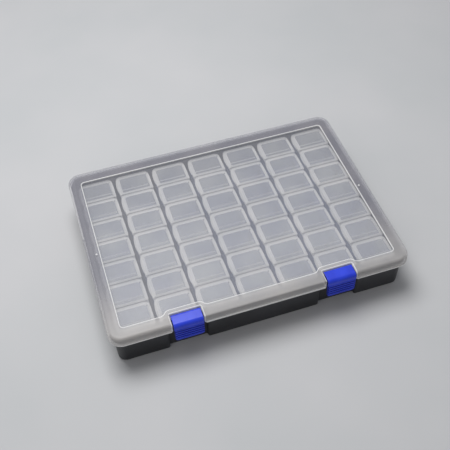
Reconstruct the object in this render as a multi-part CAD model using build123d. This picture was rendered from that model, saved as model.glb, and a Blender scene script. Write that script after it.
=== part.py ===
from build123d import *
import os

# Parts box: a shallow case with a hinged, latched lid over a row of lift-out strips,
# each a row of small cells with a hinged lid apiece. Sizes in millimetres.
# X runs along the case, Y from the latch side (negative) to the hinge side, Z up.
# The origin is the middle of the flat underside.

# Cells, their lids and the strips
cells_per_strip = 7
strip_count = 7
cell_pitch = 23.1
cell_lid_gap = 0.6
cell_lid_width = 30.8
cell_lid_taper = 0.6
cell_lid_height = 2.8
cell_lid_wall = 1.0
cell_lid_back_corner = 4.0
cell_lid_front_corner = 1.2
cell_lid_rim_drop = 0.75
cell_lid_rim_side = 3.4
cell_lid_rim_back = 3.0
cell_lid_rim_front = 1.6
window_back_corner = 1.6
window_front_corner = 0.6
lid_rest_gap = 0.2
strip_gap = 3.0
strip_body_height = 28.6
strip_side_step = 0.4
strip_taper = 0.5
strip_wall = 1.0
strip_floor = 1.0
strip_partition = 1.2
strip_corner = 3.0
cell_corner = 1.5
strip_foot_round = 0.8

# Hinge of a cell lid: a pin between two lugs of the strip, in a barrel of the lid
cell_pin_radius = 0.45
cell_pin_play = 0.05
cell_barrel_radius = 0.9
cell_lug_radius = 0.85
cell_barrel_length = 8.0
cell_web_half = 0.7
cell_lug_length = 2.0
cell_lug_gap = 0.2
cell_hinge_inset = 1.0
cell_hinge_rise = 0.95
cell_skirt_trim = 1.4
finger_lip_length = 16.0
finger_lip_reach = 0.9
finger_lip_height = 1.2

# Case base
base_floor = 2.0
base_wall = 1.8
base_draft = 0.9
base_foot_round = 1.9
strip_side_clearance = 2.1
strips_left_by = 0.8
strips_forward_by = 1.0
strip_end_clearance = 4.4
rim_reach = 1.7
rim_height = 1.6
rim_above_lip = 0.6
base_top_clearance = 0.4

# Case lid
panel_clearance = 2.0
panel_thickness = 1.4
panel_recess = 1.0
border_thickness = 1.6
border_width = 11.35
border_width_back = 13.2
lid_wall = 1.5
lid_corner = 11.0
lid_round = 3.0
skirt_height = 8.0
skirt_clearance = 0.45
ridge_corner = 2.5
ridge_step_width = 1.2
nub_radius = 0.9
nub_height = 0.35
nub_from_ridge = 3.2
nub_forward = 5.0

# Latches and what they sit in
latch_spacing = 127.0
latch_width = 24.0
latch_side_play = 0.65
latch_thickness = 1.7
latch_proud = 1.5
latch_round = 3.4
latch_drop = 20.0
latch_corner = 2.5
latch_pin_radius = 1.0
latch_pin_play = 0.06
latch_barrel_radius = 2.0
latch_back_play = 0.6
latch_pin_back = 8.25
latch_rib_count = 5
latch_rib_pitch = 1.7
latch_rib_radius = 0.35
latch_rib_margin = 1.8
latch_rib_start = 2.4
notch_wall = 1.4
notch_round = 1.2
notch_corner = 0.8
notch_foot_rise = 0.8
jog_depth = 4.1
jog_inner_width = 28.3
jog_outer_width = 35.2
jog_corner = 2.0
ridge_round = 0.4

# Pockets in the base's front wall and the catch in each
pocket_width = 32.0
pocket_depth = 4.1
pocket_wall = 1.6
pocket_corner = 1.5
pocket_inner_corner = 1.1
pocket_top_clearance = 0.5
notch_side_clearance = 0.55
catch_reach = 1.8
catch_width = 20.0
catch_height = 2.0
catch_top = 26.0
catch_slope = 0.9
hook_overlap = 0.8
hook_play = 0.35
hook_height = 2.1
hook_slope = 1.05
hook_width = 18.0

# Hinges at the back of the case
hinge_spacing = 127.0
hinge_pin_radius = 1.2
hinge_pin_play = 0.05
hinge_barrel_radius = 2.4
hinge_barrel_length = 20.0
hinge_lug_length = 4.0
hinge_lug_gap = 0.4
hinge_inset = 0.95
hinge_below_lip = 3.0

# Worked out: the strips
cell_lid_length = cell_pitch - cell_lid_gap
strip_pitch = cell_lid_width + strip_gap
strip_length = cells_per_strip * cell_pitch - cell_lid_gap
strip_width = cell_lid_width - 2 * strip_side_step
strip_height = strip_body_height + lid_rest_gap + cell_lid_height
strips_width = (strip_count - 1) * strip_pitch + cell_lid_width
cell_axis_x = cell_lid_width / 2 - cell_hinge_inset
cell_axis_z = strip_body_height + cell_hinge_rise

# Worked out: heights of the case
panel_under = base_floor + strip_height + panel_clearance
panel_top = panel_under + panel_thickness
case_height = panel_top + panel_recess
border_under = case_height - border_thickness
lip_z = case_height - skirt_height
base_top = border_under - base_top_clearance

# Worked out: plan sizes of the case
cavity_x = strips_width + 2 * strip_side_clearance
cavity_y = strip_length + 2 * strip_end_clearance
base_x = cavity_x + 2 * base_wall
base_y = cavity_y + 2 * base_wall
rim_step = base_draft + rim_reach
rim_x = base_x + 2 * rim_step
rim_y = base_y + 2 * rim_step
lid_x = rim_x + 2 * (skirt_clearance + lid_wall)
lid_y = rim_y + 2 * (skirt_clearance + lid_wall)
ridge_x = lid_x - 2 * border_width
ridge_front = -lid_y / 2 + border_width
ridge_back = lid_y / 2 - border_width_back
rim_corner = lid_corner - lid_wall - skirt_clearance
base_corner = rim_corner - rim_step

# Worked out: latches
latch_places = [-latch_spacing / 2, latch_spacing / 2]
latch_axis_y = -lid_y / 2 + latch_pin_back
latch_axis_z = case_height - latch_barrel_radius
notch_width = latch_width + 2 * latch_side_play
notch_back = latch_axis_y + latch_barrel_radius + latch_back_play
latch_front = -lid_y / 2 - latch_proud
latch_bottom = case_height - latch_drop
pocket_back = -base_y / 2 - base_draft + pocket_depth
pocket_top = latch_axis_z - latch_barrel_radius - pocket_top_clearance
catch_front = pocket_back - catch_reach
catch_bottom = catch_top - catch_height
hook_top = catch_bottom - hook_play

# Worked out: case hinges
hinge_places = [-hinge_spacing / 2, hinge_spacing / 2]
hinge_axis_y = lid_y / 2 - hinge_inset
hinge_axis_z = lip_z - hinge_below_lip

# How far a joined feature reaches into what carries it, how far a cutter overshoots,
# and how near a place an edge has to be to count as lying there
bite = 0.5
past = 5.0
close = 0.1


def block(x0, x1, y0, y1, z0, z1):
    """A box between two corners."""
    size = Box(x1 - x0, y1 - y0, z1 - z0)
    return Pos((x0 + x1) / 2, (y0 + y1) / 2, (z0 + z1) / 2) * size


def rod(radius, length, y, z, x=0.0):
    """A cylinder along X, centred on x."""
    return Pos(x, y, z) * Rot(0, 90, 0) * Cylinder(radius, length)


def rod_y(radius, length, x, z, y=0.0):
    """A cylinder along Y, centred on y."""
    return Pos(x, y, z) * Rot(90, 0, 0) * Cylinder(radius, length)


def plate(width, depth, corner, z0, z1):
    """A rounded rectangle raised from z0 to z1."""
    return Pos(0, 0, z0) * extrude(RectangleRounded(width, depth, corner), z1 - z0)


def drafted(width, depth, corner, spread, z0, z1):
    """A rounded rectangle whose sides lean out by spread on each side towards the top."""
    low = Pos(0, 0, z0) * RectangleRounded(width, depth, corner)
    high = Pos(0, 0, z1) * RectangleRounded(width + 2 * spread, depth + 2 * spread, corner + spread)
    return loft([low, high])


def base_pin_and_lugs(x):
    """Two lugs with a pin between them on the base's back wall."""
    lug_x = hinge_barrel_length / 2 + hinge_lug_gap
    wall_y = base_y / 2 - base_wall + bite
    hinge = rod(hinge_pin_radius, 2 * (lug_x + bite), hinge_axis_y, hinge_axis_z, x)
    for side in (-1, 1):
        middle = x + side * (lug_x + hinge_lug_length / 2)
        hinge += rod(hinge_barrel_radius, hinge_lug_length, hinge_axis_y, hinge_axis_z, middle)
        hinge += block(
            middle - hinge_lug_length / 2,
            middle + hinge_lug_length / 2,
            wall_y,
            hinge_axis_y,
            hinge_axis_z - hinge_barrel_radius,
            hinge_axis_z + hinge_barrel_radius,
        )
    return hinge


def base_catch(x):
    """The ledge in a pocket that the latch's hook takes hold of."""
    ledge = block(
        x - catch_width / 2,
        x + catch_width / 2,
        catch_front,
        pocket_back + bite,
        catch_bottom,
        catch_top,
    )
    nose = ledge.edges().filter_by(Axis.X).group_by(Axis.Z)[-1].sort_by(Axis.Y)[0]
    return chamfer(nose, catch_slope)


def pocket_cutter(x):
    """The space behind a latch, cut out of the base's front wall."""
    half = pocket_width / 2
    cutter = block(x - half, x + half, -lid_y / 2 - past, pocket_back, -past, case_height + past)
    return fillet(cutter.edges().filter_by(Axis.Z).group_by(Axis.Y)[-1], pocket_inner_corner)


def pocket_mouth_edges(outside):
    """The upright edges where the pockets meet the base's front face."""
    edges = []
    for edge in outside.edges():
        middle = edge.center()
        from_side = min(abs(abs(middle.X - x) - pocket_width / 2) for x in latch_places)
        upright = edge.bounding_box().size.Z > base_top / 2
        if from_side < close and upright and middle.Y < pocket_back - pocket_inner_corner - close:
            edges.append(edge)
    return edges


def make_base():
    """The open tray with its rim, latch pockets, catches and hinge lugs."""
    outside = drafted(base_x, base_y, base_corner, base_draft, 0, base_top)
    foot = outside.faces().sort_by(Axis.Z)[0]
    outside = fillet(foot.edges(), base_foot_round)
    rim = plate(rim_x, rim_y, rim_corner, lip_z + rim_above_lip, lip_z + rim_above_lip + rim_height)
    for x in latch_places:
        outside -= pocket_cutter(x)
        rim -= pocket_cutter(x)
    outside = fillet(pocket_mouth_edges(outside), pocket_corner) + rim
    inner_corner = base_corner - base_wall
    cavity = drafted(cavity_x, cavity_y, inner_corner, base_draft, base_floor, base_top + past)
    for x in latch_places:
        cavity -= block(
            x - pocket_width / 2 - pocket_wall,
            x + pocket_width / 2 + pocket_wall,
            -lid_y / 2 - past,
            pocket_back + pocket_wall,
            -past,
            case_height + 2 * past,
        )
    base = outside - cavity
    for x in latch_places:
        half = notch_width / 2 + notch_wall + notch_side_clearance
        base -= block(
            x - half,
            x + half,
            -lid_y / 2 - past,
            pocket_back + pocket_wall + bite,
            pocket_top,
            case_height + past,
        )
        base += base_catch(x)
    for x in hinge_places:
        base += base_pin_and_lugs(x)
    return base


def ridge_outline():
    """Outline of the sunken panel, which steps back behind each latch."""
    middle = (ridge_front + ridge_back) / 2
    panel = Pos(0, middle) * RectangleRounded(ridge_x, ridge_back - ridge_front, ridge_corner)
    front = ridge_front
    for x in latch_places:
        step = Polygon(
            (x - jog_outer_width / 2, front - past),
            (x + jog_outer_width / 2, front - past),
            (x + jog_outer_width / 2, front),
            (x + jog_inner_width / 2, front + jog_depth),
            (x - jog_inner_width / 2, front + jog_depth),
            (x - jog_outer_width / 2, front),
            align=None,
        )
        panel -= step
    turns = panel.vertices().filter_by(lambda v: v.Y < 0 and abs(v.X) < ridge_x / 2 - past)
    return fillet(turns, jog_corner)


def lid_notch_walls(x):
    """Walls that line the notch for a latch, short where the strips pass below."""
    outer = notch_width / 2 + notch_wall
    top = case_height - lid_round / 2
    foot = base_floor + strip_height + notch_foot_rise
    walls = block(x - outer, x + outer, -lid_y / 2 + bite, notch_back + notch_wall, foot, top)
    skirt_back = pocket_back - notch_side_clearance
    walls += block(x - outer, x + outer, -lid_y / 2 + lid_wall / 2, skirt_back, lip_z, foot + bite)
    return walls


def notch_cutter(x):
    """The space a latch sits in, with rounded back corners."""
    half = notch_width / 2
    cutter = block(x - half, x + half, -lid_y / 2 - past, notch_back, lip_z - past, case_height + past)
    back = cutter.edges().filter_by(Axis.Z).group_by(Axis.Y)[-1]
    return fillet(back, notch_corner)


def lid_hinge_eye(x):
    """An arm under the skirt that ends in a barrel round the base's hinge pin."""
    half = hinge_barrel_length / 2
    eye = rod(hinge_barrel_radius, hinge_barrel_length, hinge_axis_y, hinge_axis_z, x)
    eye += block(x - half, x + half, lid_y / 2 - lid_wall, lid_y / 2, hinge_axis_z, lip_z + bite)
    bore = rod(hinge_pin_radius + hinge_pin_play, hinge_barrel_length + past, hinge_axis_y, hinge_axis_z, x)
    return eye - bore


def ridge_edges(lid):
    """The upper edges of the step down to the sunken panel."""
    edges = []
    for edge in lid.edges():
        middle = edge.center()
        on_top = abs(middle.Z - case_height) < close and edge.bounding_box().size.Z < close
        inside = abs(middle.X) < ridge_x / 2 + close and ridge_front - close < middle.Y < ridge_back + close
        if on_top and inside and middle.Y > notch_back + notch_wall:
            edges.append(edge)
    return edges


def make_lid():
    """The lid: a skirted shell with a sunken panel, latch notches and hinge eyes."""
    shell = plate(lid_x, lid_y, lid_corner, lip_z, case_height)
    shell = fillet(shell.faces().sort_by(Axis.Z)[-1].edges(), lid_round)
    inner_x = lid_x - 2 * lid_wall
    inner_y = lid_y - 2 * lid_wall
    hollow = plate(inner_x, inner_y, lid_corner - lid_wall, lip_z - past, border_under)
    hollow = fillet(hollow.faces().sort_by(Axis.Z)[-1].edges(), lid_round - lid_wall)
    lid = shell - hollow
    outline = ridge_outline()
    carrier = offset(outline, ridge_step_width, kind=Kind.INTERSECTION)
    lid += Pos(0, 0, panel_under) * extrude(carrier, border_under + border_thickness / 2 - panel_under)
    for x in latch_places:
        lid += lid_notch_walls(x)
    lid -= Pos(0, 0, panel_top) * extrude(outline, panel_recess + past)
    for x in latch_places:
        lid -= notch_cutter(x)
    lid = fillet(ridge_edges(lid), ridge_round)
    shoulders = []
    for edge in lid.edges():
        middle = edge.center()
        on_top = abs(middle.Z - case_height) < close and edge.bounding_box().size.Z < close
        near = min(abs(middle.X - x) for x in latch_places) < notch_width / 2 + bite
        if on_top and near and middle.Y < notch_back + close:
            shoulders.append(edge)
    lid = fillet(shoulders, notch_round)
    pin_length = notch_width + notch_wall
    for x in latch_places:
        lid += rod(latch_pin_radius, pin_length, latch_axis_y, latch_axis_z, x)
    for x in hinge_places:
        lid += lid_hinge_eye(x)
    for side in (-1, 1):
        nub_x = side * (ridge_x / 2 + nub_from_ridge)
        lid += Pos(nub_x, -nub_forward, case_height - bite) * Cylinder(
            nub_radius, bite + nub_height, align=(Align.CENTER, Align.CENTER, Align.MIN)
        )
    return lid


def latch_profile():
    """Side view of a latch: top plate and front plate, rounded where they meet."""
    back = latch_axis_y
    inner = latch_front + latch_thickness
    top_under = case_height - latch_thickness
    shape = Polygon(
        (back, case_height),
        (latch_front, case_height),
        (latch_front, latch_bottom),
        (inner, latch_bottom),
        (inner, top_under),
        (back, top_under),
        align=None,
    )
    corner = shape.vertices().sort_by(lambda v: v.X - v.Y)[0]
    shape = fillet(corner, latch_round)
    inside = shape.vertices().sort_by(lambda v: abs(v.X - inner) + abs(v.Y - top_under))[0]
    return fillet(inside, latch_round - latch_thickness)


def make_latch(x):
    """A snap latch with its barrel, hook and grip ribs."""
    side = Plane.YZ.offset(x - latch_width / 2)
    latch = extrude(side * latch_profile(), latch_width)
    foot = latch.edges().filter_by(Axis.Y).group_by(Axis.Z)[0]
    latch = fillet(foot, latch_corner)
    inner = latch_front + latch_thickness
    hook_tip = catch_front + hook_overlap
    hook = block(x - hook_width / 2, x + hook_width / 2, inner - bite, hook_tip, hook_top - hook_height, hook_top)
    hook_nose = hook.edges().filter_by(Axis.X).group_by(Axis.Z)[0].sort_by(Axis.Y)[-1]
    latch += chamfer(hook_nose, hook_slope)
    for step in range(latch_rib_count):
        rib_z = latch_bottom + latch_rib_start + step * latch_rib_pitch
        latch += rod(latch_rib_radius, latch_width - 2 * latch_rib_margin, latch_front, rib_z, x)
    latch += rod(latch_barrel_radius, latch_width, latch_axis_y, latch_axis_z, x)
    bore = rod(latch_pin_radius + latch_pin_play, latch_width + past, latch_axis_y, latch_axis_z, x)
    return latch - bore


def cell_hinge_lugs(y):
    """Two rounded lugs with a pin between them on a strip's long wall."""
    start = cell_barrel_length / 2 + cell_lug_gap
    hinge = rod_y(cell_pin_radius, 2 * (start + bite), cell_axis_x, cell_axis_z, y)
    for side in (-1, 1):
        middle = y + side * (start + cell_lug_length / 2)
        hinge += rod_y(cell_lug_radius, cell_lug_length, cell_axis_x, cell_axis_z, middle)
        hinge += block(
            cell_axis_x - cell_lug_radius,
            cell_axis_x + cell_lug_radius,
            middle - cell_lug_length / 2,
            middle + cell_lug_length / 2,
            strip_body_height - bite,
            cell_axis_z,
        )
    return hinge


def cell_places():
    """Middle of each cell along the strip, front to back."""
    first = -(cells_per_strip - 1) * cell_pitch / 2
    return [first + n * cell_pitch for n in range(cells_per_strip)]


def make_strip():
    """A strip standing on z = 0: one row of open cells with a hinge at each."""
    foot_width = strip_width - 2 * strip_taper
    foot_length = strip_length - 2 * strip_taper
    body = drafted(foot_width, foot_length, strip_corner, strip_taper, 0, strip_body_height)
    body = fillet(body.faces().sort_by(Axis.Z)[0].edges(), strip_foot_round)
    cell_x = foot_width - 2 * strip_wall
    cell_y = cell_pitch - strip_partition
    end_loss = strip_taper + strip_wall - (strip_partition - cell_lid_gap) / 2
    for number, y in enumerate(cell_places()):
        near = y - cell_y / 2
        far = y + cell_y / 2
        if number == 0:
            near += end_loss
        if number == cells_per_strip - 1:
            far -= end_loss
        cell = block(-cell_x / 2, cell_x / 2, near, far, strip_floor, strip_body_height + past)
        body -= fillet(cell.edges().filter_by(Axis.Z), cell_corner)
    for y in cell_places():
        body += cell_hinge_lugs(y)
    return body


def lid_outline(half_x, near, far, back_corner, front_corner):
    """Outline of a cell lid from near to far along Y, a little narrower and rounder at its back."""
    shape = Polygon(
        (-half_x, near),
        (half_x, near),
        (half_x - cell_lid_taper, far),
        (-half_x, far),
        align=None,
    )
    shape = fillet(shape.vertices().group_by(Axis.Y)[-1], back_corner)
    return fillet(shape.vertices().group_by(Axis.Y)[0], front_corner)


def finger_lip(half_x):
    """A shallow arc that stands out from the lid's free side."""
    half = finger_lip_length / 2
    root = cell_lid_wall / 2 - half_x
    arc = ThreePointArc((-half_x, -half), (-half_x - finger_lip_reach, 0), (-half_x, half))
    back = Polyline((-half_x, half), (root, half), (root, -half), (-half_x, -half))
    return extrude(make_face(Curve() + [arc, back]), finger_lip_height)


def make_cell_lid():
    """One cell's lid about the middle of its cell, at its height on a strip at z = 0."""
    low = strip_body_height + lid_rest_gap
    high = low + cell_lid_height
    half_x = cell_lid_width / 2
    half_y = cell_lid_length / 2
    shoulder = high - cell_lid_rim_drop
    outer = lid_outline(half_x, -half_y, half_y, cell_lid_back_corner, cell_lid_front_corner)
    window = lid_outline(
        half_x - cell_lid_rim_side,
        -half_y + cell_lid_rim_front,
        half_y - cell_lid_rim_back,
        window_back_corner,
        window_front_corner,
    )
    lid = Pos(0, 0, low) * extrude(outer, shoulder - low)
    lid += loft([Pos(0, 0, shoulder) * outer, Pos(0, 0, high) * window])
    wall = cell_lid_wall
    hollow = block(-half_x + wall, half_x + past, -half_y + wall, half_y - wall, low - past, high - wall)
    backs = hollow.edges().filter_by(Axis.Z).group_by(Axis.Y)[-1].sort_by(Axis.X)[0]
    lid -= fillet(backs, cell_lid_back_corner - wall)
    skirt_end = cell_axis_x - cell_skirt_trim
    lid -= block(skirt_end, half_x + past, -half_y - past, half_y + past, low - past, high - wall)
    lid += Pos(0, 0, low) * finger_lip(half_x)
    lid += rod_y(cell_barrel_radius, cell_barrel_length, cell_axis_x, cell_axis_z)
    lid += block(
        cell_axis_x - cell_web_half,
        cell_axis_x + cell_web_half,
        -cell_barrel_length / 2,
        cell_barrel_length / 2,
        cell_axis_z,
        shoulder,
    )
    return lid - rod_y(cell_pin_radius + cell_pin_play, cell_barrel_length + past, cell_axis_x, cell_axis_z)


def save(name, solid):
    """Write one named piece."""
    solid.label = name
    export_step(solid, f"parts/{name}.step")


os.makedirs("parts", exist_ok=True)
save("case_base", make_base())
save("case_lid", make_lid())
save("latch_left", make_latch(latch_places[0]))
save("latch_right", make_latch(latch_places[1]))
strip = make_strip()
cell_lid = make_cell_lid()
for column in range(strip_count):
    strip_x = (column - (strip_count - 1) / 2) * strip_pitch - strips_left_by
    save(f"strip_{column + 1}", Pos(strip_x, -strips_forward_by, base_floor) * strip)
    for row, cell_y in enumerate(cell_places()):
        place = Pos(strip_x, cell_y - strips_forward_by, base_floor)
        save(f"cell_lid_{column + 1}_{row + 1}", place * cell_lid)
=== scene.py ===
"""Parts box: a black tray with a milky hinged lid, two blue latches and strips of lidded cells."""

import math

import bmesh
import bpy
from mathutils import Matrix, Vector


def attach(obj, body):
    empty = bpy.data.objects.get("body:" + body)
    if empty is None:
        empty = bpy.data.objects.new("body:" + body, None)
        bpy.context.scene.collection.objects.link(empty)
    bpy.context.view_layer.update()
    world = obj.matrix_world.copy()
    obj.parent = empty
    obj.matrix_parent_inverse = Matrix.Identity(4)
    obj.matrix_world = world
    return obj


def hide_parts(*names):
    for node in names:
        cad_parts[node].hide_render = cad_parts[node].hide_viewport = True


# Sizes and places are in millimetres: x along the front, y from the latches to the hinges, z up
MM = 0.001
NEAR = 0.02
# Where cuts from the front begin, clear of the box
CLEAR_FRONT = -100.0
# Turns of a rod, which stands up as it is made
UPRIGHT = (0, 0, 0)
ALONG_X = (0, 90, 0)
ALONG_Y = (90, 0, 0)

# Case lid: half its outline, its foot and the bright band on it, its top, corners and hinge
LID_HALF_X = 125.25
LID_HALF_Y = 91.3
LID_FOOT = 30.0
FOOT_BAND = 0.8
LID_TOP = 38.0
LID_TURN = 11.0
HINGE_Y = 90.35
HINGE_Z = 27.0

# Sunken panel: its outline and level, the bead round it and its step behind each latch
PANEL_HALF_X = 113.9
PANEL_FRONT = -79.95
PANEL_BACK = 78.1
PANEL_TOP = 37.0
PANEL_UNDER = 35.6
BEAD_WIDTH = 0.9
STEP_DEPTH = 4.1
STEP_FOOT = 17.6
STEP_HEAD = 14.15

# Nubs on the lid's left and right border
NUB_X = 117.1
NUB_Y = -5.0

# Latches, the notches that they stand in and the pins that they turn on
LATCH_X = (-63.5, 63.5)
LATCH_HALF = 12.0
LATCH_FRONT = -92.8
LATCH_PIN_Y = -83.05
LATCH_PIN_Z = 36.0
NOTCH_HALF = 12.65
NOTCH_BACK = -80.45
NOTCH_TURN = 0.8

# Strips of cells, their places, and the pin of a small lid from the middle of its cell
COLUMNS = 7
ROWS = 7
STRIP_PITCH = 33.8
CELL_PITCH = 23.1
STRIPS_LEFT_BY = 0.8
STRIPS_FORWARD_BY = 1.0
STRIP_TOP = 30.6
CELL_PIN_X = 14.4
CELL_PIN_Z = 31.55


def new_material(name):
    """An empty node material with its output and one plastic shader."""
    made = bpy.data.materials.new(name)
    made.use_nodes = True
    tree = made.node_tree
    tree.nodes.clear()
    output = tree.nodes.new("ShaderNodeOutputMaterial")
    plastic = tree.nodes.new("ShaderNodeBsdfPrincipled")
    tree.links.new(plastic.outputs["BSDF"], output.inputs["Surface"])
    return made, tree, plastic


def noise(tree, scale, detail):
    """A noise pattern fixed to the piece."""
    place = tree.nodes.new("ShaderNodeTexCoord")
    pattern = tree.nodes.new("ShaderNodeTexNoise")
    pattern.inputs["Scale"].default_value = scale
    pattern.inputs["Detail"].default_value = detail
    pattern.inputs["Roughness"].default_value = 0.5
    tree.links.new(place.outputs["Object"], pattern.inputs["Vector"])
    return pattern.outputs["Fac"]


def ramp(tree, value, low, high):
    """Turns the middle part of a 0 to 1 pattern into a colour between two colours."""
    node = tree.nodes.new("ShaderNodeValToRGB")
    for element, position, colour in zip(node.color_ramp.elements, (0.35, 0.65), (low, high)):
        element.position = position
        element.color = (*colour, 1)
    tree.links.new(value, node.inputs["Fac"])
    return node.outputs["Color"]


def spread(tree, value, low, high):
    """Turns a 0 to 1 pattern into a number between two numbers."""
    node = tree.nodes.new("ShaderNodeMapRange")
    node.inputs["To Min"].default_value = low
    node.inputs["To Max"].default_value = high
    tree.links.new(value, node.inputs["Value"])
    return node.outputs["Result"]


def vary_gloss(tree, plastic, value, low, high):
    """Lets the roughness go from one number to another by a 0 to 1 pattern."""
    tree.links.new(spread(tree, value, low, high), plastic.inputs["Roughness"])


def bump(tree, plastic, value, depth, strength):
    """Raises the surface by a pattern, its depth in metres."""
    node = tree.nodes.new("ShaderNodeBump")
    node.inputs["Strength"].default_value = strength
    node.inputs["Distance"].default_value = depth
    tree.links.new(value, node.inputs["Height"])
    tree.links.new(node.outputs["Normal"], plastic.inputs["Normal"])


def along_depth(tree, near, far, first, last):
    """A number that goes from one value at y = near to another at y = far."""
    place = tree.nodes.new("ShaderNodeTexCoord")
    split = tree.nodes.new("ShaderNodeSeparateXYZ")
    tree.links.new(place.outputs["Object"], split.inputs["Vector"])
    share = tree.nodes.new("ShaderNodeMapRange")
    share.inputs["From Min"].default_value = near * MM
    share.inputs["From Max"].default_value = far * MM
    share.inputs["To Min"].default_value = first
    share.inputs["To Max"].default_value = last
    tree.links.new(split.outputs["Y"], share.inputs["Value"])
    return share.outputs["Result"]


def thin_for_painted_light(tree, cover, near, far, least):
    """Thins a cover from all of it at y = near to a share of it at y = far, as painted light: the front
    reads milkier and brighter, the back clearer and darker.
    """
    product = tree.nodes.new("ShaderNodeMath")
    product.operation = "MULTIPLY"
    tree.links.new(cover, product.inputs[0])
    tree.links.new(along_depth(tree, near, far, 1.0, least), product.inputs[1])
    return product.outputs["Value"]


def paint_shade_behind(tree, colour, near, far, shade):
    """Paints shade: multiplies a colour by a shade colour, from none of it at y = near to all of it at
    y = far.
    """
    mixed = tree.nodes.new("ShaderNodeMixRGB")
    mixed.blend_type = "MULTIPLY"
    tree.links.new(along_depth(tree, near, far, 0.0, 1.0), mixed.inputs["Fac"])
    tree.links.new(colour, mixed.inputs["Color1"])
    mixed.inputs["Color2"].default_value = (*shade, 1)
    return mixed.outputs["Color"]


def milky_plastic(name, pale, dull, cover, painted_light_fade=None, shade=None):
    """Polypropylene that lets light and the pieces below show through as through thin milk.

    A fade is the y where it starts, the y where it ends and the share of the cover that is left behind,
    a painted light that makes the front milkier and brighter than the back;
    a shade is the two places and the colour that the plastic is multiplied by behind them, a painted
    shade that makes the back darker and bluer.
    """
    made, tree, plastic = new_material(name)
    cloud = noise(tree, scale=35, detail=3)
    colour = ramp(tree, cloud, dull, pale)
    thickness = spread(tree, cloud, *cover)
    # Painted shade darkens and blues the colour towards the back; painted light thins the cover there,
    # so the front reads milkier and brighter
    if shade:
        colour = paint_shade_behind(tree, colour, *shade)
    if painted_light_fade:
        thickness = thin_for_painted_light(tree, thickness, *painted_light_fade)
    tree.links.new(colour, plastic.inputs["Base Color"])
    tree.links.new(thickness, plastic.inputs["Alpha"])
    vary_gloss(tree, plastic, noise(tree, scale=220, detail=2), 0.3, 0.42)
    plastic.inputs["IOR"].default_value = 1.49
    bump(tree, plastic, noise(tree, scale=900, detail=2), depth=0.00004, strength=0.35)
    return made


def black_plastic():
    """Satin black moulded tray with a faint grain."""
    made, tree, plastic = new_material("satin_black_tray")
    cloud = noise(tree, scale=40, detail=4)
    colour = ramp(tree, cloud, (0.022, 0.023, 0.026), (0.035, 0.036, 0.041))
    tree.links.new(colour, plastic.inputs["Base Color"])
    vary_gloss(tree, plastic, noise(tree, scale=260, detail=3), 0.34, 0.5)
    plastic.inputs["IOR"].default_value = 1.49
    bump(tree, plastic, noise(tree, scale=1400, detail=3), depth=0.00005, strength=0.5)
    return made


def blue_plastic(name, dull, bright):
    """Glossy blue latch plastic, a little uneven in shade."""
    made, tree, plastic = new_material(name)
    cloud = noise(tree, scale=90, detail=3)
    tree.links.new(ramp(tree, cloud, dull, bright), plastic.inputs["Base Color"])
    vary_gloss(tree, plastic, noise(tree, scale=400, detail=2), 0.3, 0.38)
    plastic.inputs["IOR"].default_value = 1.5
    plastic.inputs["Specular IOR Level"].default_value = 0.36
    bump(tree, plastic, noise(tree, scale=1200, detail=2), depth=0.00001, strength=0.3)
    return made


def corner(x, y, z):
    """A point given in millimetres."""
    return Vector((x, y, z)) * MM


def begin_edit(piece, name):
    """Names a new primitive and opens it for edit-mode work with nothing selected."""
    piece.name = piece.data.name = name
    bpy.ops.object.transform_apply(location=True, rotation=True, scale=True)
    bpy.ops.object.mode_set(mode="EDIT")
    bpy.ops.mesh.select_all(action="DESELECT")
    return piece


def end_edit():
    """Back to object mode."""
    bpy.ops.object.mode_set(mode="OBJECT")


def begin_box(name, low, high):
    """A box primitive between two corners, left in edit mode."""
    bpy.ops.object.select_all(action="DESELECT")
    bpy.ops.mesh.primitive_cube_add(size=1)
    piece = bpy.context.object
    low, high = corner(*low), corner(*high)
    piece.location = (low + high) / 2
    piece.scale = high - low
    return begin_edit(piece, name)


def begin_rod(name, middle, radius, length, turn=ALONG_X, sides=24):
    """A cylinder primitive about a middle, left in edit mode."""
    bpy.ops.object.select_all(action="DESELECT")
    bpy.ops.mesh.primitive_cylinder_add(vertices=sides, radius=radius * MM, depth=length * MM)
    piece = bpy.context.object
    piece.rotation_euler = [math.radians(t) for t in turn]
    piece.location = corner(*middle)
    return begin_edit(piece, name)


def plain_block(name, low, high):
    """A finished box, for a cut or a union."""
    block = begin_box(name, low, high)
    end_edit()
    return block


def plain_rod(name, middle, radius, length, turn=ALONG_X, sides=24):
    """A finished rod, for a cut or as a pin."""
    rod = begin_rod(name, middle, radius, length, turn, sides)
    end_edit()
    return rod


def pick_faces(piece, test):
    """Selects the faces whose middle (in millimetres) and normal pass a test."""
    bpy.ops.mesh.select_mode(type="FACE")
    bpy.ops.mesh.select_all(action="DESELECT")
    mesh = bmesh.from_edit_mesh(piece.data)
    for face in mesh.faces:
        if test(face.calc_center_median() / MM, face.normal):
            face.select_set(True)
    bmesh.update_edit_mesh(piece.data)


def pick_edges(piece, test):
    """Selects the edges whose two ends (in millimetres) pass a test."""
    bpy.ops.mesh.select_mode(type="EDGE")
    bpy.ops.mesh.select_all(action="DESELECT")
    mesh = bmesh.from_edit_mesh(piece.data)
    for edge in mesh.edges:
        if test(edge.verts[0].co / MM, edge.verts[1].co / MM):
            edge.select_set(True)
    bmesh.update_edit_mesh(piece.data)


def pick_points(piece, test):
    """Selects the vertices whose place (in millimetres) passes a test."""
    bpy.ops.mesh.select_mode(type="VERT")
    bpy.ops.mesh.select_all(action="DESELECT")
    mesh = bmesh.from_edit_mesh(piece.data)
    for vertex in mesh.verts:
        if test(vertex.co / MM):
            vertex.select_set(True)
    mesh.select_flush_mode()
    bmesh.update_edit_mesh(piece.data)


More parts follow.
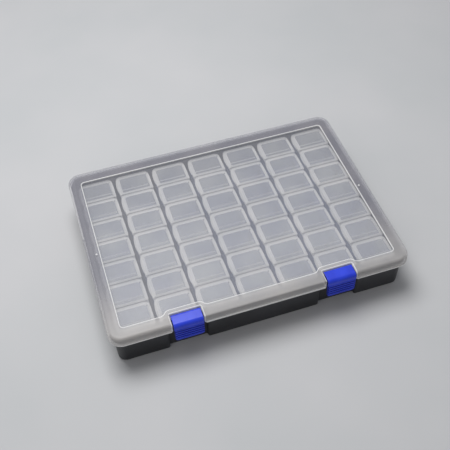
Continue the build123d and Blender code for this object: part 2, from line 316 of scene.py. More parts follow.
def round_edges(piece, test, width, steps):
    """Rounds the edges whose two ends pass a test."""
    pick_edges(piece, test)
    bpy.ops.mesh.bevel(
        offset=width * MM, offset_type="OFFSET", segments=steps, affect="EDGES", clamp_overlap=False
    )


def shift_points(x, y, z):
    """Moves what is selected."""
    bpy.ops.transform.translate(value=corner(x, y, z))


def slice_all(point, normal):
    """Cuts the whole mesh through along a plane."""
    bpy.ops.mesh.select_all(action="SELECT")
    bpy.ops.mesh.bisect(plane_co=corner(*point), plane_no=normal)


def across_x(a, b):
    """True for an edge that lies across the x axis, as round the end of a rod along x."""
    return abs(a.x - b.x) < NEAR


def across_y(a, b):
    """True for an edge that lies across the y axis."""
    return abs(a.y - b.y) < NEAR


def upright(a, b):
    """True for an edge that stands up."""
    return across_x(a, b) and across_y(a, b) and abs(a.z - b.z) > NEAR


def level_at(a, b, z):
    """True for an edge that lies level at a height."""
    return abs(a.z - z) < NEAR and abs(b.z - z) < NEAR


def from_latch(p):
    """How far a point is from the middle of the nearest latch, along the front."""
    return min(abs(p.x - x) for x in LATCH_X)


def edit(piece):
    """Opens a piece for edit-mode work."""
    bpy.ops.object.select_all(action="DESELECT")
    piece.select_set(True)
    bpy.context.view_layer.objects.active = piece
    bpy.ops.object.mode_set(mode="EDIT")


def clean_up():
    """Merges doubles and flat leftovers of the cuts."""
    bpy.ops.mesh.select_mode(type="VERT")
    bpy.ops.mesh.select_all(action="SELECT")
    bpy.ops.mesh.remove_doubles(threshold=0.01 * MM)
    bpy.ops.mesh.dissolve_limited(angle_limit=math.radians(0.5))


def split_wide_faces():
    """Cuts faces with many corners into clean triangles."""
    bpy.ops.mesh.select_mode(type="FACE")
    bpy.ops.mesh.select_all(action="DESELECT")
    bpy.ops.mesh.select_face_by_sides(number=4, type="GREATER")
    bpy.ops.mesh.quads_convert_to_tris(quad_method="BEAUTY", ngon_method="BEAUTY")


def cut_or_add(piece, tools, operation):
    """Cuts the tool pieces out of a piece or adds them to it, and removes the tools."""
    for tool in tools:
        bpy.ops.object.select_all(action="DESELECT")
        bpy.context.view_layer.objects.active = piece
        piece.select_set(True)
        change = piece.modifiers.new("change", "BOOLEAN")
        change.operation = operation
        change.solver = "EXACT"
        change.object = tool
        bpy.ops.object.modifier_apply(modifier=change.name)
        bpy.data.objects.remove(tool)


def give_wall(piece, thickness):
    """Turns a shell into a wall of a thickness, measured inwards, and goes on in edit mode."""
    end_edit()
    maker = piece.modifiers.new("wall", "SOLIDIFY")
    maker.thickness = thickness * MM
    maker.offset = -1
    maker.use_even_offset = True
    bpy.ops.object.modifier_apply(modifier=maker.name)
    bpy.ops.object.mode_set(mode="EDIT")


def gather(piece, others):
    """Joins other pieces into one."""
    bpy.ops.object.select_all(action="DESELECT")
    for other in others:
        other.select_set(True)
    piece.select_set(True)
    bpy.context.view_layer.objects.active = piece
    bpy.ops.object.join()


def smooth(piece, angle=35):
    """Smooth faces between gentle angles, with even normals on the wide faces."""
    bpy.ops.object.shade_smooth_by_angle(angle=math.radians(angle))
    even = piece.modifiers.new("even", "WEIGHTED_NORMAL")
    even.keep_sharp = True
    bpy.ops.object.modifier_apply(modifier=even.name)


def copy_of(piece, name):
    """A copy with its own mesh."""
    made = piece.copy()
    made.data = piece.data.copy()
    made.name = made.data.name = name
    bpy.context.scene.collection.objects.link(made)
    return made


def move_mesh(piece, x, y):
    """Moves a piece's mesh, so that its object stays at the origin."""
    piece.data.transform(Matrix.Translation(corner(x, y, 0)))


def cell_lid_cap(half_x, half_y, low, high):
    """A shallow cap with a flat window, a broad soft lower rim and an open side over the pin."""
    rim_side, rim_back, rim_front, rim_drop = 3.4, 3.0, 1.6, 0.75
    back_turn, front_turn, taper, wall, ring = 4.0, 1.3, 0.6, 1.0, 1.0
    open_side, corners_from, doubles = 13.0, 16.0, 0.04
    window_x = half_x - rim_side
    window_y = half_y - (rim_back + rim_front) / 2
    window_back = half_y - rim_back
    window_front = -half_y + rim_front

    def outside(p):
        side = half_x - taper * (p.y + half_y) / (2 * half_y)
        on_side = p.x < -half_x + NEAR or p.x > side - 2 * NEAR
        return on_side or abs(p.y) > half_y - NEAR or math.hypot(p.x, p.y) > corners_from

    def off_window(p):
        past_end = p.y > window_back + NEAR or p.y < window_front - NEAR
        return p.z > high - NEAR and (abs(p.x) > window_x + NEAR or past_end)

    lid = begin_box("cell_lid", (-half_x, -half_y, low), (half_x, half_y, high))
    pick_points(lid, lambda p: p.x > half_x - NEAR and p.y > half_y - NEAR)
    shift_points(-taper, 0, 0)
    round_edges(lid, lambda a, b: upright(a, b) and a.y > 0, width=back_turn, steps=6)
    round_edges(lid, lambda a, b: upright(a, b) and a.y < 0, width=front_turn, steps=3)
    pick_faces(lid, lambda m, n: n.z > 0.9)
    bpy.ops.mesh.inset(thickness=ring * MM)
    shares = (window_x / (half_x - ring), window_y / (half_y - ring), 1)
    bpy.ops.transform.resize(value=shares, center_override=(0, 0, 0))
    shift_points(0, (rim_front - rim_back) / 2, 0)
    pick_points(lid, off_window)
    shift_points(0, 0, -rim_drop)
    slice_all((open_side, 0, 0), (1, 0, 0))
    pick_faces(lid, lambda m, n: m.z < low + NEAR or (m.x > open_side and abs(n.z) < 0.1))
    bpy.ops.mesh.delete(type="FACE")
    give_wall(lid, wall)
    round_edges(
        lid, lambda a, b: level_at(a, b, high - rim_drop) and outside(a) and outside(b),
        width=0.5, steps=3
    )
    round_edges(lid, lambda a, b: level_at(a, b, high), width=0.35, steps=2)
    bpy.ops.mesh.select_mode(type="VERT")
    bpy.ops.mesh.select_all(action="SELECT")
    bpy.ops.mesh.remove_doubles(threshold=doubles * MM)
    end_edit()
    return lid


def cell_lid_lip(half_x, low):
    """The thin finger lip that bows out of a cell lid's left side."""
    half, reach, height, depth, cuts = 8.0, 0.9, 1.2, 0.4, 12
    lip = begin_box("lip", (-half_x - 0.01, -half, low), (-half_x + depth, half, low + height))
    places = [-half + cut * half / (cuts / 2) for cut in range(1, cuts)]
    for y in places:
        slice_all((0, y, 0), (0, 1, 0))
    for y in places:
        pick_points(lip, lambda p: p.x < -half_x and abs(p.y - y) < NEAR)
        shift_points(-reach * (1 - (y / half) ** 2), 0, 0)
    round_edges(
        lip, lambda a, b: level_at(a, b, low + height) and max(a.x, b.x) < -half_x + NEAR,
        width=0.15, steps=2
    )
    end_edit()
    return lip


def model_cell_lid():
    """One cell's lid about the middle of its cell, with its barrel, finger lip and locating rib."""
    half_x, half_y, low, high = 15.4, 11.25, 30.8, 33.6
    rib_half, rib_low = 11.6, 31.5
    lid = cell_lid_cap(half_x, half_y, low, high)
    pin = (CELL_PIN_X, 0, CELL_PIN_Z)
    barrel = begin_rod("barrel", pin, radius=0.9, length=8.0, turn=ALONG_Y, sides=20)
    round_edges(barrel, across_y, width=0.15, steps=1)
    end_edit()
    web = plain_block("web", (13.7, -4.0, 31.7), (14.8, 4.0, 32.7))
    lip = cell_lid_lip(half_x, low)
    rib = begin_box("locating_rib", (-rib_half, -5.5, rib_low), (rib_half, -4.9, 32.7))
    round_edges(rib, lambda a, b: level_at(a, b, rib_low), width=0.15, steps=1)
    end_edit()
    gather(lid, [barrel, web, lip, rib])
    smooth(lid)
    return lid


def cell_space(middle, front_loss, back_loss):
    """The space of one cell, with rounded corners and a floor scooped up to its front and back."""
    half_x, half_y, floor, top, turn, scoop, spare = 13.5, 10.95, 3.0, 40.0, 1.5, 6.5, 2
    near = middle - half_y + front_loss
    far = middle + half_y - back_loss
    wide_x, from_y, to_y = half_x + spare, near - NEAR, far + NEAR
    scooped = begin_box("scooped", (-wide_x, from_y, floor), (wide_x, to_y, top + spare))
    round_edges(scooped, lambda a, b: level_at(a, b, floor) and across_y(a, b), width=scoop, steps=3)
    end_edit()
    space = begin_box("cell_space", (-half_x, near, floor - spare), (half_x, far, top))
    round_edges(space, upright, width=turn, steps=3)
    end_edit()
    cut_or_add(space, [scooped], "INTERSECT")
    return space


def hinge_lugs(middle):
    """A pin between two round-topped lugs on a strip's right wall."""
    low, high, half_x, half_y, apart = 30.2, 32.4, 0.85, 1.0, 5.2
    pin = (CELL_PIN_X, middle, CELL_PIN_Z)
    made = [plain_rod("pin", pin, radius=0.45, length=10.0, turn=ALONG_Y, sides=12)]
    for side in (-1, 1):
        y = middle + side * apart
        left, right = CELL_PIN_X - half_x, CELL_PIN_X + half_x
        lug = begin_box("lug", (left, y - half_y, low), (right, y + half_y, high))
        round_edges(
            lug, lambda a, b: level_at(a, b, high) and across_x(a, b),
            width=half_x - 0.01, steps=4
        )
        end_edit()
        made.append(lug)
    return made


def model_strip():
    """A strip about x = 0: a long tub with seven open cells, a round foot and a hinge at each cell."""
    half_x, half_y, low, taper, end_loss = 15.0, 80.55, 2.0, 0.5, 1.2
    strip = begin_box("strip", (-half_x, -half_y, low), (half_x, half_y, STRIP_TOP))
    pick_points(strip, lambda p: p.z < low + NEAR)
    shares = ((half_x - taper) / half_x, (half_y - taper) / half_y, 1)
    bpy.ops.transform.resize(value=shares, center_override=(0, 0, 0))
    round_edges(strip, lambda a, b: abs(a.z - b.z) > 5, width=3.0, steps=6)
    round_edges(strip, lambda a, b: level_at(a, b, low), width=0.8, steps=3)
    end_edit()
    places = [(number - (ROWS - 1) / 2) * CELL_PITCH for number in range(ROWS)]
    for middle in places:
        front_loss = end_loss if middle == places[0] else 0
        back_loss = end_loss if middle == places[-1] else 0
        cut_or_add(strip, [cell_space(middle, front_loss, back_loss)], "DIFFERENCE")
    edit(strip)
    clean_up()
    round_edges(strip, lambda a, b: level_at(a, b, STRIP_TOP), width=0.22, steps=2)
    split_wide_faces()
    end_edit()
    lugs = []
    for middle in places:
        lugs += hinge_lugs(middle)
    gather(strip, lugs)
    smooth(strip)
    return strip


def latch_plates(low, high, thickness):
    """A latch's top plate, which turns down into its front plate."""
    bend, foot_turn = 3.4, 2.5

    def outside(p):
        from_bend = math.hypot(p.y - LATCH_FRONT - bend, p.z - high + bend)
        near_bend = p.y < LATCH_FRONT + bend + 0.1 and p.z > high - bend - 0.1
        on_bend = near_bend and from_bend > bend - 0.1
        return p.y < LATCH_FRONT + NEAR or p.z > high - NEAR or on_bend

    def on_rim(a, b):
        on_side = across_x(a, b) and abs(a.x) > LATCH_HALF - NEAR
        on_foot = max(a.z, b.z) < low + foot_turn + 0.1 and across_y(a, b)
        return outside(a) and outside(b) and (on_side or on_foot)

    plates = begin_box("latch", (-LATCH_HALF, LATCH_FRONT, low), (LATCH_HALF, LATCH_PIN_Y, high))
    pick_faces(plates, lambda m, n: n.z < -0.9 or abs(n.x) > 0.9 or n.y > 0.9)
    bpy.ops.mesh.delete(type="FACE")
    round_edges(
        plates, lambda a, b: level_at(a, b, high) and max(a.y, b.y) < LATCH_FRONT + NEAR,
        width=bend, steps=8
    )
    bpy.ops.mesh.select_all(action="SELECT")
    bpy.ops.mesh.normals_make_consistent(inside=False)
    give_wall(plates, thickness)
    round_edges(plates, lambda a, b: across_x(a, b) and level_at(a, b, low), width=foot_turn, steps=5)
    round_edges(plates, on_rim, width=0.45, steps=3)
    end_edit()
    return plates


def latch_ribs(first, last, count):
    """The rounded grip ribs across a latch's front plate."""
    rib_half, short_by, reach, root = 0.75, 0.45, 0.3, 1.0
    made = []
    for number in range(count):
        z = first + number * (last - first) / (count - 1)
        low = (-LATCH_HALF + short_by, LATCH_FRONT - reach, z - rib_half)
        high = (LATCH_HALF - short_by, LATCH_FRONT + root, z + rib_half)
        rib = begin_box("rib", low, high)
        round_edges(
            rib, lambda a, b: max(a.y, b.y) < LATCH_FRONT and level_at(a, b, z + rib_half),
            width=0.6, steps=4
        )
        round_edges(
            rib, lambda a, b: max(a.y, b.y) < LATCH_FRONT and level_at(a, b, z - rib_half),
            width=0.3, steps=3
        )
        end_edit()
        made.append(rib)
    return made


def model_latch():
    """A snap latch about x = 0: a top plate, a ribbed front plate, a hook and a barrel."""
    low, thickness, rib_first, rib_last = 18.0, 1.7, 20.6, 31.8
    grip_deep, spare, hook_back, hook_low, hook_high = 0.55, 1, -84.55, 21.55, 23.65
    latch = latch_plates(low, LID_TOP, thickness)
    grip_foot = (-LATCH_HALF - spare, LATCH_FRONT - spare, rib_first - 1.3)
    grip_head = (LATCH_HALF + spare, LATCH_FRONT + grip_deep, rib_last + 0.6)
    cut_or_add(latch, [plain_block("grip", grip_foot, grip_head)], "DIFFERENCE")
    ribs = latch_ribs(rib_first, rib_last, 5)
    pin = (0, LATCH_PIN_Y, LATCH_PIN_Z)
    barrel = begin_rod("barrel", pin, radius=2.0, length=2 * LATCH_HALF, sides=32)
    round_edges(barrel, across_x, width=0.3, steps=2)
    end_edit()
    bore = plain_rod("bore", pin, radius=1.06, length=30.0)
    cut_or_add(barrel, [copy_of(bore, "bore_again")], "DIFFERENCE")
    cut_or_add(latch, [bore], "DIFFERENCE")
    hook_front = LATCH_FRONT + thickness - 0.4
    hook = begin_box("hook", (-9.0, hook_front, hook_low), (9.0, hook_back, hook_high))
    round_edges(
        hook, lambda a, b: min(a.y, b.y) > hook_back - NEAR and level_at(a, b, hook_low),
        width=1.05, steps=1
    )
    end_edit()
    gather(latch, ribs + [barrel, hook])
    smooth(latch, angle=40)
    return latch


def panel_block(name, grow, low, high):
    """A block with the outline of the sunken panel, grown a little, stepped back behind each latch."""
    half_x, front, back = PANEL_HALF_X + grow, PANEL_FRONT - grow, PANEL_BACK + grow
    # The step's sides slant, so a grown outline narrows it by less than it grows
    narrower = 0.47 * grow
    foot, head = STEP_FOOT - narrower, STEP_HEAD - narrower
    block = begin_box(name, (-half_x, front, low), (half_x, back, high))
    for x in LATCH_X:
        for side in (-foot, -head, head, foot):
            slice_all((x + side, 0, 0), (1, 0, 0))
    pick_points(block, lambda p: p.y < front + NEAR and from_latch(p) < head + NEAR)
    shift_points(0, STEP_DEPTH, 0)
    bpy.ops.mesh.select_all(action="SELECT")
    bpy.ops.mesh.dissolve_limited(angle_limit=math.radians(1))
    round_edges(block, lambda a, b: upright(a, b) and abs(a.x) < half_x - 5, width=2.0, steps=4)
    round_edges(
        block, lambda a, b: upright(a, b) and abs(a.x) > half_x - NEAR,
        width=2.5 + grow, steps=6
    )
    end_edit()
    return block


def in_recess(a, b):
    """True for an edge on the sunken panel's own outline, not on the bead round it."""
    middle = (a + b) / 2
    off = from_latch(middle)
    front = PANEL_FRONT
    if off < STEP_HEAD + 0.05:
        front = PANEL_FRONT + STEP_DEPTH
    elif off <= STEP_FOOT:
        front = PANEL_FRONT + STEP_DEPTH * (STEP_FOOT - off) / (STEP_FOOT - STEP_HEAD)
    inside_x = max(abs(a.x), abs(b.x)) < PANEL_HALF_X + NEAR
    inside_y = min(a.y, b.y) > PANEL_FRONT - NEAR and max(a.y, b.y) < PANEL_BACK + NEAR
    return inside_x and inside_y and middle.y > front - BEAD_WIDTH / 2


def notch_space(x):
    """The space that a latch stands in."""
    low = (x - NOTCH_HALF, CLEAR_FRONT, LID_FOOT - 10)
    high = (x + NOTCH_HALF, NOTCH_BACK, LID_TOP + 12)
    space = begin_box("notch_space", low, high)
    round_edges(
        space, lambda a, b: upright(a, b) and a.y > NOTCH_BACK - NEAR,
        width=NOTCH_TURN, steps=4
    )
    end_edit()
    return space


def lid_outer_block():
    """The outside of the case lid: its border rounded wide, the notches' rims rounded small."""
    border_round, rim_share = 3.0, 0.36

    def at_rim(p):
        inside = from_latch(p) < NOTCH_HALF + NEAR and p.y < NOTCH_BACK + NEAR
        return inside and (from_latch(p) > NOTCH_HALF - NOTCH_TURN - 0.05 or p.y > NOTCH_BACK - 0.05)

    def on_border(a, b):
        return level_at(a, b, LID_TOP) and not (at_rim(a) and at_rim(b))

    def on_rim(a, b):
        at_front = upright(a, b) and a.y < -LID_HALF_Y + NEAR and from_latch(a) < NOTCH_HALF + 0.05
        return at_rim(a) and at_rim(b) and (level_at(a, b, LID_TOP) or at_front)

    foot_corner = (-LID_HALF_X, -LID_HALF_Y, LID_FOOT)
    block = begin_box("case_lid_shell", foot_corner, (LID_HALF_X, LID_HALF_Y, LID_TOP))
    round_edges(block, upright, width=LID_TURN, steps=10)
    end_edit()
    cut_or_add(block, [notch_space(x) for x in LATCH_X], "DIFFERENCE")
    edit(block)
    clean_up()
    pick_edges(block, on_border)
    bpy.ops.transform.edge_bevelweight(value=1.0)
    pick_edges(block, on_rim)
    bpy.ops.transform.edge_bevelweight(value=rim_share)
    end_edit()
    rounding = block.modifiers.new("rounding", "BEVEL")
    rounding.limit_method = "WEIGHT"
    rounding.width = border_round * MM
    rounding.segments = 6
    rounding.use_clamp_overlap = False
    bpy.ops.object.modifier_apply(modifier=rounding.name)
    return block


def lid_hollow(wall, under):
    """The hollow under the case lid, which leaves its skirt and border."""
    half_x, half_y = LID_HALF_X - wall, LID_HALF_Y - wall
    hollow = begin_box("hollow", (-half_x, -half_y, LID_FOOT - 5), (half_x, half_y, under))
    round_edges(hollow, upright, width=LID_TURN - wall, steps=10)
    round_edges(hollow, lambda a, b: level_at(a, b, under), width=1.5, steps=4)
    end_edit()
    return hollow


def notch_lining(x):
    """The walls that close the case lid round a latch's notch."""
    wall, front, lining_foot, lining_top, apron_back, apron_top = 1.4, -90.0, 34.4, 36.6, -84.1, 34.9
    left, right = x - NOTCH_HALF - wall, x + NOTCH_HALF + wall
    lining = plain_block("lining", (left, front, lining_foot), (right, NOTCH_BACK + wall, lining_top))
    apron = plain_block("apron", (left, front, LID_FOOT), (right, apron_back, apron_top))
    cut_or_add(lining, [apron], "UNION")
    cut_or_add(lining, [notch_space(x)], "DIFFERENCE")
    return lining


def hinge_eye(x):
    """The barrel and arm at the lid's back that turn on the base's pin."""
    half, arm_front, arm_back, short_by = 10.0, 89.9, 91.2, 0.3
    pin = (x, HINGE_Y, HINGE_Z)
    eye = begin_rod("hinge_eye", pin, radius=2.395, length=2 * half, sides=32)
    round_edges(eye, across_x, width=0.35, steps=2)
    end_edit()
    low = (x - half + short_by, arm_front, HINGE_Z)
    high = (x + half - short_by, arm_back, LID_FOOT + 0.4)
    arm = begin_box("arm", low, high)
    round_edges(arm, lambda a, b: upright(a, b) and a.y > arm_back - 0.2, width=0.4, steps=2)
    end_edit()
    cut_or_add(eye, [arm], "UNION")
    cut_or_add(eye, [plain_rod("bore", pin, radius=1.25, length=30.0)], "DIFFERENCE")
    return eye


def border_nub(side):
    """A tiny round nub on the left or right border."""
    height, level = 0.85, 37.92
    middle = (side * NUB_X, NUB_Y, level)
    nub = begin_rod("nub", middle, radius=0.9, length=height, turn=UPRIGHT, sides=20)
    round_edges(nub, lambda a, b: level_at(a, b, level + height / 2), width=0.25, steps=3)
    end_edit()
    return nub


def front_lip():
    """A fine bead along the foot of the skirt's front and round both corners, open at the notches."""
    half_x, front, rear, low, high, wall, gap_half = 125.2, -92.1, 20.0, 30.02, 30.9, 1.2, 13.8

    def round_front(a, b):
        on_end = level_at(a, b, low) or level_at(a, b, high)
        return on_end and min(a.y, b.y) < rear - NEAR

    bead = begin_box("front_lip", (-half_x, front, low), (half_x, rear, high))
    round_edges(bead, lambda a, b: upright(a, b) and a.y < 0, width=LID_TURN, steps=10)
    round_edges(bead, round_front, width=0.25, steps=2)
    end_edit()
    inner_x = half_x - wall
    hollow = begin_box("hollow", (-inner_x, front + wall, low - 1), (inner_x, rear + 1, high + 1))
    round_edges(hollow, lambda a, b: upright(a, b) and a.y < 0, width=LID_TURN - wall, steps=10)
    end_edit()
    gaps = []
    for x in LATCH_X:
        near, far = (x - gap_half, CLEAR_FRONT, low - 1), (x + gap_half, NOTCH_BACK, high + 1)
        gaps.append(plain_block("gap", near, far))
    cut_or_add(bead, [hollow] + gaps, "DIFFERENCE")
    return bead


def model_case_lid():
    """The case lid: a shell with a round border, a sunken panel, two notches and two hinge eyes."""
    wall, border_under, bead_step, spare = 1.5, 36.4, 0.05, 5
    bead_level = LID_TOP - bead_step

    def on_outside(p):
        in_turn = abs(p.x) > LID_HALF_X - LID_TURN and abs(p.y) > LID_HALF_Y - LID_TURN
        from_turn = math.hypot(abs(p.x) - LID_HALF_X + LID_TURN, abs(p.y) - LID_HALF_Y + LID_TURN)
        on_side = abs(p.x) > LID_HALF_X - NEAR or abs(p.y) > LID_HALF_Y - NEAR
        return from_turn > LID_TURN - 0.1 if in_turn else on_side

    lid = lid_outer_block()
    cut_or_add(lid, [lid_hollow(wall, border_under)], "DIFFERENCE")
    carrier = panel_block("carrier", grow=1.2, low=PANEL_UNDER, high=border_under + 0.8)
    cut_or_add(lid, [carrier], "UNION")
    for x in LATCH_X:
        cut_or_add(lid, [notch_lining(x)], "UNION")
    recess = panel_block("recess", grow=0, low=PANEL_TOP, high=LID_TOP + spare)
    cut_or_add(lid, [recess], "DIFFERENCE")
    bead = panel_block("bead", grow=BEAD_WIDTH, low=bead_level, high=LID_TOP + spare)
    cut_or_add(lid, [bead], "DIFFERENCE")
    edit(lid)
    clean_up()
    slice_all((0, 0, LID_FOOT + FOOT_BAND), (0, 0, 1))
    round_edges(
        lid, lambda a, b: level_at(a, b, LID_FOOT) and on_outside(a) and on_outside(b),
        width=0.3, steps=2
    )
    round_edges(
        lid, lambda a, b: level_at(a, b, bead_level) and in_recess(a, b),
        width=BEAD_WIDTH / 2, steps=3
    )
    split_wide_faces()
    end_edit()
    extras = []
    for x in LATCH_X:
        middle = (x, LATCH_PIN_Y, LATCH_PIN_Z)
        extras.append(plain_rod("latch_pin", middle, radius=1.0, length=26.6))
        extras.append(hinge_eye(x))
    extras += [border_nub(side) for side in (-1, 1)]
    extras.append(front_lip())
    gather(lid, extras)
    smooth(lid, angle=30)
    return lid


def finish_on_lid(m, n):
    """Which of the case lid's finishes a face has, by its middle and normal.

    0 is the sunken panel, 1 the ridge, lip, nubs and notch rims, milkier where the plastic is seen
    edge-on and whiter as a painted highlight, 2 the border and skirt.
    """
    over_panel = abs(m.x) < PANEL_HALF_X + 0.1 and PANEL_FRONT - 0.05 < m.y < PANEL_BACK + 0.05
    bead_x, bead_y = BEAD_WIDTH + 0.1, BEAD_WIDTH + 0.05
    over_bead = abs(m.x) < PANEL_HALF_X + bead_x and PANEL_FRONT - bead_y < m.y < PANEL_BACK + bead_y
    on_ridge = over_bead and PANEL_TOP + NEAR < m.z < LID_TOP - 0.01
    on_foot = LID_FOOT - 0.1 < m.z < LID_FOOT + FOOT_BAND - NEAR
    on_front_bead = m.y < -LID_HALF_Y - NEAR and m.z < LID_FOOT + 1.0
    beside_notch = NOTCH_HALF - NEAR < from_latch(m) < NOTCH_HALF + 1.05 and m.y < NOTCH_BACK - 1.05
    on_notch = beside_notch and m.z > LID_FOOT + 0.1 and abs(n.z) + abs(n.y) > 0.02
    over_nub = math.hypot(abs(m.x) - NUB_X, m.y - NUB_Y) < 1.0
    on_nub = over_nub and (m.z > LID_TOP + NEAR or (m.z > LID_TOP - 0.4 and abs(n.z) < 0.3))
    if on_ridge or on_foot or on_front_bead or on_notch or on_nub:
        return 1
    on_panel = over_panel and PANEL_UNDER - 0.1 < m.z < PANEL_TOP + NEAR and abs(n.z) > 0.9
    return 0 if on_panel else 2


def painted_shade_in_grip(m, n):
    """1 down in the grooves between a latch's ribs, where a darker blue paints the shade in them, 0
    elsewhere.
    """
    grip_foot, grip_head = 19.2, 32.5
    in_grip = grip_foot < m.z < grip_head and LATCH_FRONT + 0.1 < m.y < LATCH_FRONT + 0.6
    return int(in_grip and (n.y < -0.9 or abs(n.z) > 0.9))


def rim_highlight_on_strip(m, n):
    """1 on the upper rim of a strip's walls, where whiter, milkier plastic paints a highlight, 0
    elsewhere.
    """
    return int(m.z > STRIP_TOP - 0.25 and n.z > 0.3)


def rim_highlight_on_cell_lid(m, n):
    """1 on a cell lid's soft rim and walls, which are milkier where the plastic is seen edge-on and
    whiter as a painted highlight, 0 on its window.
    """
    side, front, back = 12.5, -9.3, 7.7
    on_window = abs(m.x) < side and front < m.y < back and abs(n.z) > 0.9
    return int(not on_window)


def rim_highlight_on_first_column(m, n):
    """As on the other cell lids, but the rim that lies under the case lid's border is clear."""
    border_inside = -12.0
    return int(rim_highlight_on_cell_lid(m, n) and m.x > border_inside)


def dress(node, material):
    """Gives a CAD node one material."""
    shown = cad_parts[node]
    shown.data.materials.clear()
    shown.data.materials.append(material)


def stand_for(piece, node, materials, choose):
    """Lets a piece take a CAD node's place, with its materials given by place on the piece."""
    for material in materials:
        piece.data.materials.append(material)
    for face in piece.data.polygons:
        face.material_index = choose(face.center / MM, face.normal)
    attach(piece, node)
    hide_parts(node)


def place_latches(finishes):
    """Both latches, copied from one."""
    latch = model_latch()
    for side, x in zip(("left", "right"), LATCH_X):
        shown = copy_of(latch, f"snap_latch_{side}")
        move_mesh(shown, x, 0)
        stand_for(shown, f"latch_{side}", finishes, painted_shade_in_grip)
    bpy.data.objects.remove(latch)


def place_strips(strip_finishes, lid_finishes):
    """The strips and small lids, copied from one of each. A copy gets its finishes before it moves."""
    small_lid = model_cell_lid()
    strip = model_strip()
    for column in range(1, COLUMNS + 1):
        x = (column - (COLUMNS + 1) / 2) * STRIP_PITCH - STRIPS_LEFT_BY
        shown = copy_of(strip, f"cell_strip_{column}")
        stand_for(shown, f"strip_{column}", strip_finishes, rim_highlight_on_strip)
        move_mesh(shown, x, -STRIPS_FORWARD_BY)
        # The mask of the rims' painted highlight, partly also the plastic's edge-on milkiness
        bright = rim_highlight_on_first_column if column == 1 else rim_highlight_on_cell_lid
        for row in range(1, ROWS + 1):
            y = (row - (ROWS + 1) / 2) * CELL_PITCH - STRIPS_FORWARD_BY
            shown = copy_of(small_lid, f"small_lid_{column}_{row}")
            stand_for(shown, f"cell_lid_{column}_{row}", lid_finishes, bright)
            move_mesh(shown, x, y)
    bpy.data.objects.remove(small_lid)
    bpy.data.objects.remove(strip)


def photo_camera():
    """The camera of the photograph: its place, turn and lens in the part's frame."""
    data = bpy.data.cameras.new("camera")
    data.sensor_width = 36
    data.lens = 59.22
    data.clip_start = 0.01
    data.clip_end = 20
    camera = bpy.data.objects.new("camera", data)
    camera.location = (-0.12022, -0.39213, 0.51789)
    camera.rotation_euler = [math.radians(turn) for turn in (39.700, 1.359, -18.008)]
    bpy.context.scene.collection.objects.link(camera)
    bpy.context.scene.camera = camera


def soft_light(name, place, size, power, tint):
    """A square soft box that looks at the middle of the box's foot."""
    data = bpy.data.lights.new(name, "AREA")
    data.shape = "RECTANGLE"
    data.size = size
    data.size_y = size
    data.energy = power
    data.color = tint
    lamp = bpy.data.objects.new(name, data)
    lamp.location = place
    lamp.rotation_euler = (-Vector(place)).to_track_quat("-Z", "Y").to_euler()
    bpy.context.scene.collection.objects.link(lamp)


def pale_floor():
    """A plain pale floor."""
    bpy.ops.mesh.primitive_plane_add(size=6)
    floor = bpy.context.object
    floor.name = "floor"
    made, tree, paper = new_material("pale_floor")
    cloud = noise(tree, scale=6, detail=3)
    tree.links.new(ramp(tree, cloud, (0.56, 0.57, 0.58), (0.6, 0.6, 0.61)), paper.inputs["Base Color"])
    paper.inputs["Roughness"].default_value = 0.7
    floor.data.materials.append(made)


def studio():
    """The floor, a plain pale world and two soft lights."""
    pale_floor()
    world = bpy.data.worlds.new("studio")
    world.use_nodes = True
    sky = world.node_tree.nodes["Background"]
    sky.inputs["Color"].default_value = (0.8, 0.83, 0.88, 1)
    sky.inputs["Strength"].default_value = 0.28
    bpy.context.scene.world = world
    soft_light("softbox_overhead", (-0.12, 0.28, 0.95), size=0.6, power=8.1, tint=(0.985, 0.985, 0.985))
    soft_light("softbox_front_left", (-0.7, -0.8, 0.9), size=0.9, power=1.8, tint=(1, 0.94, 0.88))


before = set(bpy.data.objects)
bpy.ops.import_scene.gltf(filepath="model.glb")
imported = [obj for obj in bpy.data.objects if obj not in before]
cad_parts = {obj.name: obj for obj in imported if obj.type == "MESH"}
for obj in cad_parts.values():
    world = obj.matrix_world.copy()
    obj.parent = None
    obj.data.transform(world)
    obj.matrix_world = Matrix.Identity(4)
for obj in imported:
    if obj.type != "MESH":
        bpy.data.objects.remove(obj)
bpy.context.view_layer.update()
bpy.ops.object.select_all(action="DESELECT")

frosted_panel = milky_plastic(
    "frosted_panel", pale=(0.82, 0.82, 0.89), dull=(0.73, 0.75, 0.83), cover=(0.12, 0.15)
)
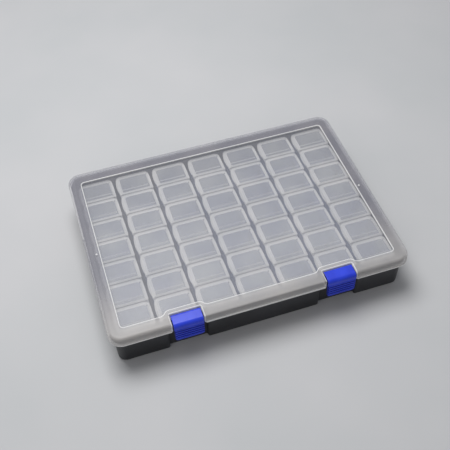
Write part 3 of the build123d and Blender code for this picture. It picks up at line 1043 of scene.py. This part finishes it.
# Painted light and shade: the border's cover thins and its colour turns darker and bluer towards the
# back
lid_border = milky_plastic(
    "lid_border", pale=(0.74, 0.71, 0.69), dull=(0.65, 0.635, 0.635), cover=(0.38, 0.43),
    painted_light_fade=(-90, -30, 0.86), shade=(-90, -30, (0.66, 0.675, 0.765))
)
# Painted light: the strips' cover thins towards the back, so the front rows read milkier and brighter
clear_strip = milky_plastic(
    "clear_strip", pale=(0.7, 0.77, 0.97), dull=(0.64, 0.71, 0.93),
    cover=(0.23, 0.28), painted_light_fade=(-80, 30, 0.65)
)
# Painted light: the cell lids' cover thins towards the back, so the front rows read milkier and
# brighter
clear_cell_lid = milky_plastic(
    "clear_cell_lid", pale=(0.86, 0.88, 0.84), dull=(0.79, 0.79, 0.83), cover=(0.2, 0.24),
    painted_light_fade=(-70, 50, 0.68)
)
# Partly the plastic's own look, milkier where it is seen edge-on, and partly a painted highlight,
# whiter on the lid's edges
lid_edge_milk_and_highlight = milky_plastic("lid_edge_milk_and_highlight", pale=(0.92, 0.91, 0.9), dull=(0.87, 0.87, 0.87), cover=(0.7, 0.78))
# Partly the plastic's own look, milkier where it is seen edge-on, and partly a painted highlight,
# whiter on the rims
rim_milk_and_highlight = milky_plastic(
    "rim_milk_and_highlight", pale=(0.96, 0.94, 0.9), dull=(0.9, 0.89, 0.86), cover=(0.32, 0.38)
)
tray_black = black_plastic()
latch_blue = blue_plastic("glossy_blue_latch", dull=(0.022, 0.05, 0.66), bright=(0.032, 0.07, 0.78))
# Painted shade: a darker blue down in the latch's grooves, where the ribs shade them
groove_painted_shade = blue_plastic("latch_groove_painted_shade", dull=(0.004, 0.006, 0.16), bright=(0.006, 0.009, 0.2))

dress("case_base", tray_black)
lid_finishes = [frosted_panel, lid_edge_milk_and_highlight, lid_border]
stand_for(model_case_lid(), "case_lid", lid_finishes, finish_on_lid)
place_latches([latch_blue, groove_painted_shade])
place_strips([clear_strip, rim_milk_and_highlight], [clear_cell_lid, rim_milk_and_highlight])

photo_camera()
studio()
bpy.context.scene.view_settings.view_transform = "Standard"
bpy.context.scene.cycles.transparent_max_bounces = 32
